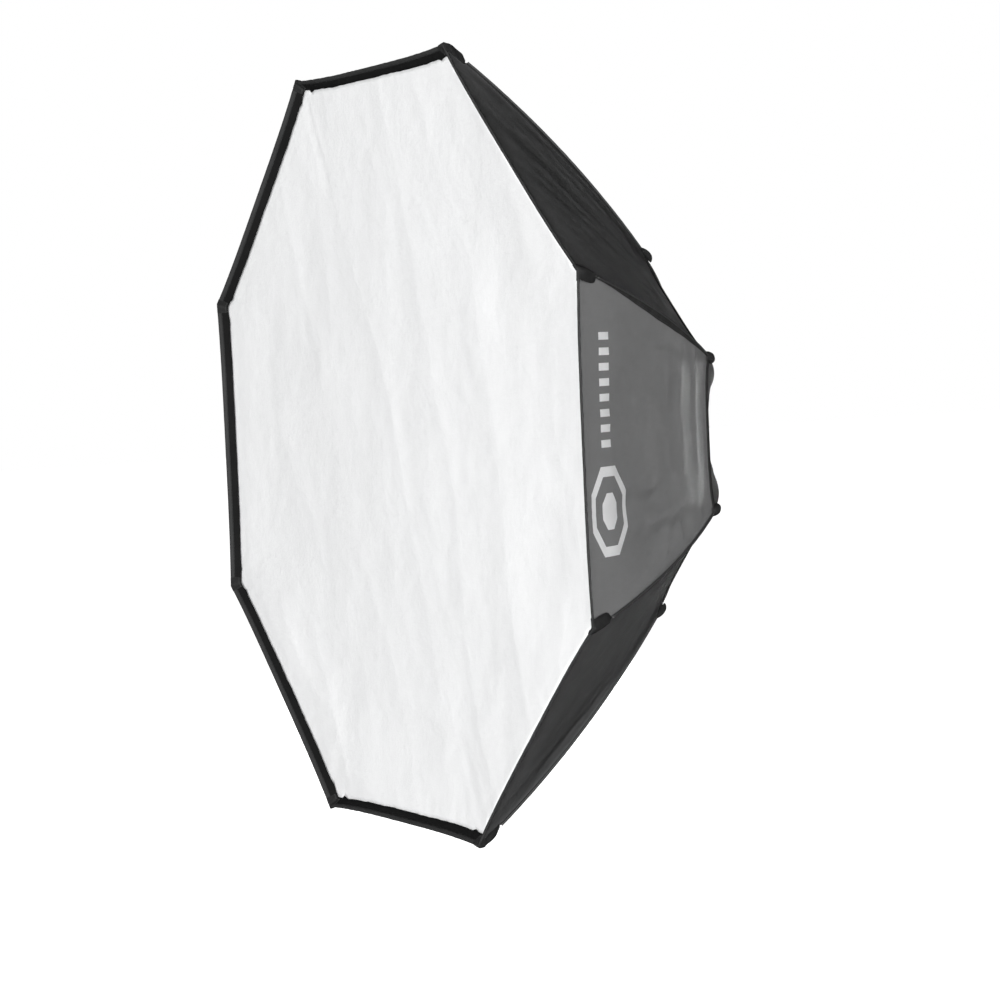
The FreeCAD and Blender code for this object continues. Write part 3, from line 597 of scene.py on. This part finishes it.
CAD_FINISHES = {
    "black_plastic": moulded("black_plastic_moulded", 0.016, 0.030),
    "knob_plastic": moulded("knob_plastic_moulded", 0.014, 0.024, 0.36, 0.0001),
    "spring_steel": metal("spring_steel_drawn", (0.42, 0.43, 0.45), 0.30, (1, 0.05, 1)),
    "ring_paint": moulded("ring_powder_coat", 0.020, 0.038, 0.5, 0.00012),
    "aluminium": metal("aluminium_turned", (0.76, 0.77, 0.78), 0.32, (1, 0.04, 1)),
    "black_metal": moulded("black_anodised", 0.018, 0.034, 0.34, 0.00003),
    "screw_steel": metal("screw_steel_plated", (0.55, 0.56, 0.58), 0.28),
    "brass": metal("brass_turned", (0.72, 0.52, 0.24), 0.30, (1, 0.05, 1)),
}


# the cloth of the shell --------------------------------------------------------------------------

GORE_COLUMNS = 88
GORE_ROWS = 96
PANEL_COLUMNS = 48
PANEL_ROWS = 36
FLAP_ROWS = 20
SEAM_SHARE = 0.9985


def spread(share):
    """Place columns closer together beside the seams, where the cloth bends most."""
    return math.sin(share * math.pi / 2) * 0.6 + share * 0.4


def make_gore(index):
    """A front panel of the shell. The last one has the print."""
    angle = STEP * index

    def at(i, j):
        return spread(2 * i / GORE_COLUMNS - 1) * SEAM_SHARE, SHOULDER_DEPTH * j / GORE_ROWS

    def place(i, j):
        u, depth = at(i, j)
        return gore_point(angle, u, depth)

    def flat(i, j):
        u, depth = at(i, j)
        return u * FRONT_ARC.radius_at(FRONT_Y + depth) * SIN_HALF, depth * GORE_STRETCH

    piece = grid(f"gore_{index}_cloth", GORE_COLUMNS, GORE_ROWS, place, flat, turned=True)
    outside = SHELL_PRINTED if index == SIDES else SHELL
    dress(piece, None, (outside, LINING))
    finish_mesh(piece, CLOTH, lined=True)
    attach(piece, "shell")
    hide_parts(f"gore_{index}")


def make_rear_cloth(name, index, start, end, rows):
    """A panel of the rear of the shell, from one radius of the corner line to a smaller one."""
    angle = STEP * index

    def at(i, j):
        return spread(2 * i / PANEL_COLUMNS - 1) * SEAM_SHARE, start + (end - start) * j / rows

    def place(i, j):
        return rear_point(angle, *at(i, j))

    def flat(i, j):
        u, radius = at(i, j)
        return u * radius * SIN_HALF, start - radius

    piece = grid(name, PANEL_COLUMNS, rows, place, flat, turned=True)
    dress(piece, None, (SHELL, LINING))
    finish_mesh(piece, CLOTH, lined=True)
    return piece


def make_rear(index):
    """A rear panel of the shell, and its access flap where the sector has one."""
    has_flap = index in FLAP_SECTORS
    end = SEWN_EDGE_RADIUS if has_flap else NECK_RADIUS
    name = f"rear_panel_{index}_cloth"
    panel = make_rear_cloth(name, index, SHOULDER_RADIUS, end, PANEL_ROWS)
    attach(panel, "shell")
    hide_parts(f"rear_panel_{index}")
    if has_flap:
        make_flap(FLAP_SECTORS.index(index) + 1, index)


def make_flap(number, index):
    """The access flap's cloth, from its sewn edge to the neck, about which the box's flap turns."""
    name = f"access_flap_{number}_cloth"
    flap = make_rear_cloth(name, index, SEWN_EDGE_RADIUS, NECK_RADIUS, FLAP_ROWS)
    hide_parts(f"access_flap_{number}")
    middle = rear_point(STEP * index, 0, SEWN_EDGE_RADIUS)
    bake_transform(flap)


# the front: lip, tapes and diffusers -------------------------------------------------------------

SIDE_COLUMNS = 72


def ring_place(i):
    """The sector's angle and the share across it, for a column counted round the whole box."""
    sector, column = divmod(i, SIDE_COLUMNS)
    return STEP * (sector + 1), 2 * column / SIDE_COLUMNS - 1


def ring_length(i):
    """How far round the front edge a column is."""
    return i / SIDE_COLUMNS * 2 * FRONT_APOTHEM * TAN_HALF


def section_length(section, j):
    """How far round a section its jth point is."""
    total = 0.0
    for k in range(j):
        first, second = section[k % len(section)], section[(k + 1) % len(section)]
        total += math.dist(first[:2], second[:2])
    return total


def front_ring(name, section, ripple):
    """Sweep a closed section of (depth, inset) points round the front edge, rippled inside it."""
    lengths = [section_length(section, j) for j in range(len(section) + 1)]

    def place(i, j):
        angle, u = ring_place(i % (SIDES * SIDE_COLUMNS))
        depth, inset = section[j][0], section[j][1]
        share = smooth((inset - 0.006) / 0.03)
        wave = ripple * share * wander(ring_length(i) * 9, 3.3, 1.7)
        wave += ripple * 0.6 * share * wander(ring_length(i) * 30, 1.3, 5.1)
        return lip_point(angle, u, depth + wave * 0.3, inset + wave)

    def flat(i, j):
        return ring_length(i), lengths[j]

    return grid(name, SIDES * SIDE_COLUMNS, len(section), place, flat, True, True)


def make_lip():
    """The turned-in hem: a rim, a slanted wall and the ledge behind the diffuser."""
    section = [
        (0.0026, 0.0026), (0.0008, 0.0014), (0.0000, 0.0022), (0.0006, 0.0036), (0.0040, 0.0064),
        (0.0100, 0.0116), (0.0160, 0.0167), (0.0220, 0.0219), (0.0258, 0.0254), (0.0270, 0.0280),
        (0.0274, 0.0330), (0.0276, 0.0470), (0.0283, 0.0490), (0.0294, 0.0488), (0.0297, 0.0460),
        (0.0297, 0.0320), (0.0294, 0.0266), (0.0272, 0.0244), (0.0220, 0.0200), (0.0160, 0.0149),
        (0.0100, 0.0098), (0.0050, 0.0054)]
    piece = front_ring("front_lip_cloth", section, ripple=0.0022)
    dress(piece, "shell", (LIP,), ["front_lip"])
    finish_mesh(piece)


def make_hem():
    """The binding folded over the front edge of the gores."""
    inside = [
        (-0.0008, 0.0004), (-0.0013, 0.0018), (-0.0006, 0.0036), (0.0020, 0.0054), (0.0052, 0.0080)]
    outside = (0.0018, 0.0010, 0.0002)

    def place(i, j):
        angle, u = ring_place(i % (SIDES * SIDE_COLUMNS))
        pucker = 0.0004 * wander(ring_length(i) * 45, j * 0.7, 2.1)
        if j < len(outside):
            return gore_point(angle, u, outside[j], 0.0004 + pucker)
        depth, inset = inside[j - len(outside)]
        return lip_point(angle, u, depth, inset, pucker)

    def flat(i, j):
        return ring_length(i), 0.0020 * j

    rows = len(outside) + len(inside) - 1
    piece = grid("front_hem_binding", SIDES * SIDE_COLUMNS, rows, place, flat, True)
    dress(piece, "shell", (HEM,))
    finish_mesh(piece, 0.0008, offset=1.0)


def make_tape(name, node, body, depth):
    """A flat length of hook or loop tape round the front, with its face at a depth."""
    near, far = FRONT_APOTHEM - TAPE_OUTER_APOTHEM, FRONT_APOTHEM - TAPE_INNER_APOTHEM
    back = depth + TAPE_THICKNESS
    edge = TAPE_THICKNESS / 3
    section = [
        (depth, near + edge), (depth, (near + far) / 2), (depth, far - edge), (depth + edge, far),
        (back - edge, far), (back, far - edge), (back, (near + far) / 2), (back, near + edge),
        (back - edge, near), (depth + edge, near)]
    piece = front_ring(name, section, ripple=0.0008)
    dress(piece, body, (PILE,), [node])
    finish_mesh(piece)


def octagon_place(x, z):
    """For a point of a square grid: the sector's angle, the share across it and the share out."""
    share = max(abs(x), abs(z))
    if share == 0:
        return STEP, 0.0, 0.0
    if x >= abs(z):
        turn = z / share
    elif z >= abs(x):
        turn = 2 - x / share
    elif -x >= abs(z):
        turn = 4 - z / share
    else:
        turn = 6 + x / share
    corner = math.floor(turn)
    return STEP * (corner + 1), 2 * (turn - corner) - 1, share


def octagon_cloth(name, cells, apothem, y, edge_bow, relief):
    """An octagon of cloth on a square grid, its edges bowed in between the corners.

    relief(point, angle, u, share) says how far a point moves outwards and forwards.
    """
    def place(i, j):
        angle, u, share = octagon_place(2 * i / cells - 1, 2 * j / cells - 1)
        reach = share * apothem
        side = sideways(angle) * u * reach * TAN_HALF
        reach -= bow(u, edge_bow) * share ** 5
        point = outwards(angle) * reach + side + BACK * y
        out, forward = relief(point, angle, u, share)
        return point + outwards(angle) * out - BACK * forward

    def flat(i, j):
        point = place(i, j)
        return point.x, point.z

    return grid(name, cells, cells, place, flat)


def diffuser_relief(point, angle, u, share):
    """Tension lines from the corners, long soft wrinkles lower down and a wavy stitched hem."""
    x, z = point.x, point.z
    low = smooth((0.25 - z) / 0.9)
    forward = (0.0016 + 0.0034 * low) * wander(x * 3 + z * 1.4, z * 2.2, 4.4)
    forward += 0.0012 * wander(x * 9, z * 3.2, 8.8) + 0.0006 * wander(x * 20, z * 16, 2.8)
    forward += 0.0034 * low * crease(x * 1.6 + z * 2.4, z * 1.1 - x, 7.1)
    forward += 0.0012 * crease(x * 4.5 + z * 1.2, z * 1.4, 9.3)
    corner = smooth((abs(u) - 0.55) / 0.45) * smooth((share - 0.55) / 0.45)
    forward += 0.0012 * corner * wander(u * 9 + angle, share * 3.5, 6.6)
    edge = smooth((share - 0.94) / 0.06)
    forward += 0.0012 * edge * wander(u * 26 + angle * 3, share * 3, 1.1)
    forward *= 1 - 0.5 * edge
    hem = HEM_RISE * smooth((share - 0.72) / 0.28) + (HEM_STEP if share > 0.975 else 0.0)
    waves = 0.0020 * wander(u * 5 + angle * 7, 0.5, 3.9)
    waves += 0.0012 * wander(u * 17 + angle, 0.2, 7.9)
    notch = math.exp(-((abs(u) - 0.90) / 0.022) ** 2)
    return edge * waves - 0.006 * edge * notch, forward + hem


def make_diffuser():
    """The white front cloth in the lip's recess, which its turned edge fills."""
    cells, apothem = 168, DIFFUSER_APOTHEM + HEM_EASE
    y = FRONT_Y + DIFFUSER_DEPTH
    piece = octagon_cloth(
        "front_diffuser_cloth", cells, apothem, y, FRONT_BOW, diffuser_relief)
    dress(piece, "outer_diffuser", (WHITE,), ["front_diffuser"])
    finish_mesh(piece, WHITE_CLOTH)


def inner_relief(point, angle, u, share):
    """Loose waves, and tension lines from the corners."""
    x, z = point.x, point.z
    forward = 0.003 * wander(x * 3.4, z * 3.4, 1.5) + 0.0012 * wander(x * 9, z * 11, 2.5)
    corner = smooth((abs(u) - 0.5) / 0.5) * smooth((share - 0.4) / 0.6)
    forward += 0.003 * corner * wander(u * 8 + angle, share * 2, 9.5)
    return 0.0, forward * (1 - 0.6 * smooth((share - 0.9) * 10))


def make_inner_diffuser():
    """The smaller white cloth that hangs inside by its elastic loops."""
    cells, apothem = 96, INNER_RADIUS * COS_HALF
    piece = octagon_cloth(
        "inner_diffuser_cloth", cells, apothem, INNER_Y, INNER_BOW, inner_relief)
    dress(piece, "inner_diffuser", (WHITE,), ["inner_diffuser"])
    finish_mesh(piece, WHITE_CLOTH)


def make_inner_loops():
    """A loop of elastic from each corner of the inner diffuser round the post of the rib's clip."""
    overlap, half, turns = 0.022, 0.0042, 10
    strip_columns, strip_width, behind = 4, 0.0015, 0.0035
    post = FRONT_ARC.radius_at(FRONT_Y + CLIP_DEPTH) - RIB_INSET - HOOK_DROP
    sewn = INNER_RADIUS - overlap
    centres = [(post, k * math.pi / turns - math.pi / 2) for k in range(turns + 1)]
    centres += [(sewn, k * math.pi / turns + math.pi / 2) for k in range(turns + 1)]
    path = [(centre + half * math.cos(turn), half * math.sin(turn)) for centre, turn in centres]
    lengths = [section_length(path, j) for j in range(len(path) + 1)]
    made = []
    for corner in range(SIDES):
        angle = STEP * corner + HALF

        def place(i, j, angle=angle):
            radius, across = path[j % len(path)]
            point = outwards(angle) * radius + sideways(angle) * across
            return point + BACK * (INNER_Y - behind + strip_width * i)

        def flat(i, j):
            return lengths[j], i * strip_width

        made.append(grid("loop", strip_columns, len(path), place, flat, wrap_rows=True))
    piece = join("inner_loops_elastic", made)
    dress(piece, "inner_diffuser", (ELASTIC,), ["inner_loops"])
    finish_mesh(piece, 0.0012, offset=1.0)


# trim over the seams, and painted shade beside them
# -----------------------------------------------------


def make_corner_pockets():
    """Webbing pockets folded over the front corners, swollen over the rib ends."""
    reach, length, columns = 0.018, 0.054, 24
    inner_rows = [(0.0180, 0.0206), (0.0110, 0.0146), (0.0040, 0.0086), (-0.0022, 0.0050)]
    inner_widths = [0.62, 0.85, 1.0, 1.0]
    outer_rows = 16

    def swell(across, depth):
        """How far the webbing stands off the cloth."""
        over_rib = math.exp(-(across / 0.015) ** 2)
        fade = smooth(depth / 0.010) * 0.5 + 0.5
        return 0.0016 + 0.0085 * over_rib * fade * (1 - 0.75 * smooth((depth - 0.040) / 0.02))

    made = []
    for corner in range(SIDES):
        ragged = 0.004 * wander(corner * 2.7, 0.4, 0.9)

        def place(i, j, corner=corner, ragged=ragged):
            across = reach * (2 * i / columns - 1)
            if j < len(inner_rows):
                depth, inset = inner_rows[j]
                apothem = FRONT_APOTHEM - inset
                shift = across * inner_widths[j] / (apothem * TAN_HALF)
                if across < 0:
                    return lip_point(STEP * corner, 1 + shift, depth, inset)
                return lip_point(STEP * (corner + 1), -1 + shift, depth, inset)
            share = (j - len(inner_rows)) / outer_rows
            rounded = 1 - 0.42 * share ** 5 + 0.08 * wander(share * 6, across * 90, corner * 2.1)
            depth = -0.0020 + (length + ragged + 0.004 * math.cos(across * 60)) * share
            crumple = 0.0016 * wander(across * 90, depth * 80, corner * 1.9)
            lift = swell(across, depth) + crumple
            point = beside_corner(corner, across * rounded, max(depth, 0), lift)
            return point - BACK * max(-depth, 0)

        def flat(i, j):
            return i * 0.003, j * 0.0036

        rows = len(inner_rows) + outer_rows
        made.append(grid("pocket", columns, rows, place, flat, turned=True))
    piece = join("corner_pocket_webbing", made)
    dress(piece, "shell", (TAPE,), ["corner_pockets"])
    finish_mesh(piece, 0.0014)


def make_painted_seam_shade():
    """A dark strip of painted shade beside each front seam, on one side of it and widest half way,
    where the cloth falls away under the ridge; it is drawn as black tape.
    """
    rows, columns = 72, 8
    start, end = 0.062, 0.586
    made = []
    for corner in range(SIDES):

        def place(i, j, corner=corner):
            share = j / rows
            depth = start + (end - start) * share
            # painted shade: the dark strip is widest half way along, as the shadow under the ridge
            # is
            wide = 0.0030 + 0.0105 * math.sin(math.pi * share) ** 1.3
            wide += 0.0014 * wander(share * 11, corner, 0.3) * math.sin(math.pi * share)
            across = (i / columns - 1) * wide + 0.0012
            lift = 0.0008 + 0.0012 * (1 - (2 * i / columns - 1) ** 2)
            return beside_corner(corner, across, depth, lift)

        def flat(i, j):
            return j * 0.0092, i * 0.0016

        made.append(grid("seam_shade_piece", columns, rows, place, flat, turned=True))
    piece = join("painted_seam_shade_tape", made)
    dress(piece, "shell", (BINDING_AND_SEAM_SHADE,))
    finish_mesh(piece, 0.0008)


def make_seam_piping():
    """A thin piped edge of the shell's own cloth along the ridge of each front seam."""
    rows, turns, bead = 96, 10, 0.0020
    start, end = 0.064, 0.588
    off_centre, stand_off = 0.0008, 0.0030
    made = []
    for corner in range(SIDES):

        def place(i, j, corner=corner):
            turn = math.tau * (i % turns) / turns
            depth = start + (end - start) * j / rows
            bead_here = bead * (1 + 0.12 * wander(depth * 60, corner * 3.3, 0.8))
            across = bead_here * math.cos(turn) + off_centre
            lift = stand_off + bead_here * 1.2 * math.sin(turn)
            return beside_corner(corner, across, depth, lift)

        def flat(i, j):
            return i * 0.0012, j * 0.0066

        made.append(grid("piping", turns, rows, place, flat, wrap_columns=True, turned=True))
    piece = join("seam_piping_cloth", made)
    dress(piece, "shell", (PIPING,), ["seam_piping"])
    close_ends(piece)
    finish_mesh(piece)


def make_shoulder_binding():
    """Tape over the seam between the gores and the rear panels."""
    half, rows, columns = 0.0085, 8, 40

    def place(i, j):
        sector, column = divmod(i % (SIDES * columns), columns)
        angle, u = STEP * (sector + 1), 2 * column / columns - 1
        across = half * (2 * j / rows - 1)
        lift = 0.0010 + 0.0011 * (1 - (across / half) ** 2)
        if across < 0:
            return gore_point(angle, u, SHOULDER_DEPTH + across, lift)
        return rear_point(angle, u, SHOULDER_RADIUS - across * 0.85, lift)

    def flat(i, j):
        return i * 2 * SHOULDER_RADIUS * SIN_HALF / columns, j * 2 * half / rows

    piece = grid("shoulder_binding_tape", SIDES * columns, rows, place, flat, True, turned=True)
    dress(piece, "shell", (BINDING_AND_SEAM_SHADE,), ["shoulder_binding"])
    finish_mesh(piece, 0.0010)


def make_shoulder_tabs():
    """Folded webbing tabs on the ribs at the shoulder, each a rounded D seen from the side."""
    outline = [
        (-0.0225, 0.0016), (-0.0215, 0.0052), (-0.0150, 0.0092), (-0.0060, 0.0126),
        (0.0030, 0.0140), (0.0110, 0.0130), (0.0170, 0.0098), (0.0205, 0.0050), (0.0212, 0.0016)]
    along, out = REAR_ARC.normal(SHOULDER_Y, SHOULDER_RADIUS)
    columns, half = 10, 0.0115
    section = outline + [(point[0] * 0.9, 0.0004) for point in reversed(outline[1:-1])]
    lengths = [section_length(section, j) for j in range(len(section) + 1)]
    made = []
    for corner in range(SIDES):
        angle = STEP * corner + HALF
        normal = BACK * along + outwards(angle) * out
        tangent = BACK * out - outwards(angle) * along
        centre = outwards(angle) * SHOULDER_RADIUS + BACK * SHOULDER_Y
        twist = 0.10 * wander(corner * 3.1, 1.4, 0.6)
        plump = 1 + 0.12 * wander(corner * 1.7, 4.4, 0.2)

        def place(i, j, frame=(centre, normal, tangent, angle, twist, plump)):
            centre, normal, tangent, angle, twist, plump = frame
            reach, lift = section[j % len(section)]
            side = 2 * i / columns - 1
            pinch = 1 - 0.35 * abs(side) ** 5
            droop = 0.0030 * side * side
            point = centre + tangent * (reach * pinch + twist * half * side)
            return point + normal * (lift * pinch * plump - droop) + sideways(angle) * half * side

        def flat(i, j):
            return lengths[j], i * 0.0023

        made.append(grid("tab", columns, len(section), place, flat, wrap_rows=True))
    piece = join("shoulder_tab_webbing", made)
    close_ends(piece)
    dress(piece, "shell", (TAPE,), ["shoulder_tabs"])
    finish_mesh(piece, level=1)


# the stage ---------------------------------------------------------------------------------------


def make_floor():
    """A plain pale floor far below, as the box hangs on its lamp and stand."""
    mesh = bpy.data.meshes.new("floor")
    half, level = 60.0, -2.1
    corners = ((-1, -1), (1, -1), (1, 1), (-1, 1))
    mesh.from_pydata([(x * half, y * half, level) for x, y in corners], [], [(0, 1, 2, 3)])
    floor = bpy.data.objects.new("floor", mesh)
    bpy.context.scene.collection.objects.link(floor)
    finish = Finish("floor_paint", 0.9)
    finish.colour(finish.mix(finish.noise(0.5, 2), (0.93, 0.93, 0.93), (0.96, 0.96, 0.96)))
    finish.shader.inputs["Emission Color"].default_value = (1, 1, 1, 1)
    finish.shader.inputs["Emission Strength"].default_value = 1.1
    mesh.materials.append(finish.done())
    floor.visible_diffuse = False
    floor.visible_glossy = False
    floor.visible_shadow = False


def make_world(seen, lit):
    """A white surround, which lights the object less than it shows."""
    world = bpy.data.worlds.new("surround")
    bpy.context.scene.world = world
    world.use_nodes = True
    tree = world.node_tree
    shade = tree.nodes["Background"]
    shade.inputs["Color"].default_value = (1, 1, 1, 1)
    path = tree.nodes.new("ShaderNodeLightPath")
    scale = tree.nodes.new("ShaderNodeMapRange")
    scale.inputs["To Min"].default_value = lit
    scale.inputs["To Max"].default_value = seen
    tree.links.new(path.outputs["Is Camera Ray"], scale.inputs["Value"])
    tree.links.new(scale.outputs[0], shade.inputs["Strength"])


def make_light(name, direction, distance, size, power):
    """A round soft light at a distance from the box, aimed at it."""
    target = Vector((0.0, -0.45, 0.0))
    lamp = bpy.data.lights.new(name, "AREA")
    lamp.shape = "DISK"
    lamp.size = size
    lamp.energy = power
    light = bpy.data.objects.new(name, lamp)
    bpy.context.scene.collection.objects.link(light)
    towards = Vector(direction).normalized()
    light.location = target + towards * distance
    light.rotation_mode = "QUATERNION"
    light.rotation_quaternion = (-towards).to_track_quat("-Z", "Y")
    light.visible_camera = False
    return light


def make_camera():
    """The camera, in front and to the right of the box and slightly above its middle."""
    place = Vector((5.21589, -3.52502, 0.18039))
    right = Vector((0.504815, 0.862098, -0.044143))
    forward = Vector((-0.862933, 0.502648, -0.051881))
    lens = bpy.data.cameras.new("camera")
    lens.lens = 97.277
    lens.sensor_width = 36.0
    lens.clip_end = 200
    camera = bpy.data.objects.new("camera", lens)
    bpy.context.scene.collection.objects.link(camera)
    up = right.cross(forward)
    turn = Matrix((right, up, -forward)).transposed()
    camera.matrix_world = Matrix.Translation(place) @ turn.to_4x4()
    bpy.context.scene.camera = camera


# the whole scene ---------------------------------------------------------------------------------

make_camera()
for sector in range(1, SIDES + 1):
    make_gore(sector)
    make_rear(sector)
make_lip()
make_hem()
make_diffuser()
make_tape("diffuser_hook_strip", "diffuser_hook_tape", "outer_diffuser", HOOK_TAPE_DEPTH)
make_tape("lip_loop_strip", "lip_loop_tape", "shell", LOOP_TAPE_DEPTH)
make_inner_loops()
make_inner_diffuser()
make_corner_pockets()
make_painted_seam_shade()
make_seam_piping()
make_shoulder_binding()
make_shoulder_tabs()
for node in frame["nodes"].values():
    if not node.hide_render:
        for place in range(len(node.data.materials)):
            node.data.materials[place] = CAD_FINISHES[node.data.materials[place].name]

bpy.context.scene.view_settings.view_transform = "Standard"
make_floor()
make_world(seen=1.0, lit=0.022)
make_light("key", (0.78, -0.625, -0.01), distance=24.0, size=5.0, power=9500)
make_light("back_left", (-0.68, 0.73, -0.05), distance=14.0, size=5.0, power=1100)
gloss = make_light("gloss", (0.1, 1.0, 0.0), distance=14.0, size=4.0, power=500)
gloss.visible_diffuse = False
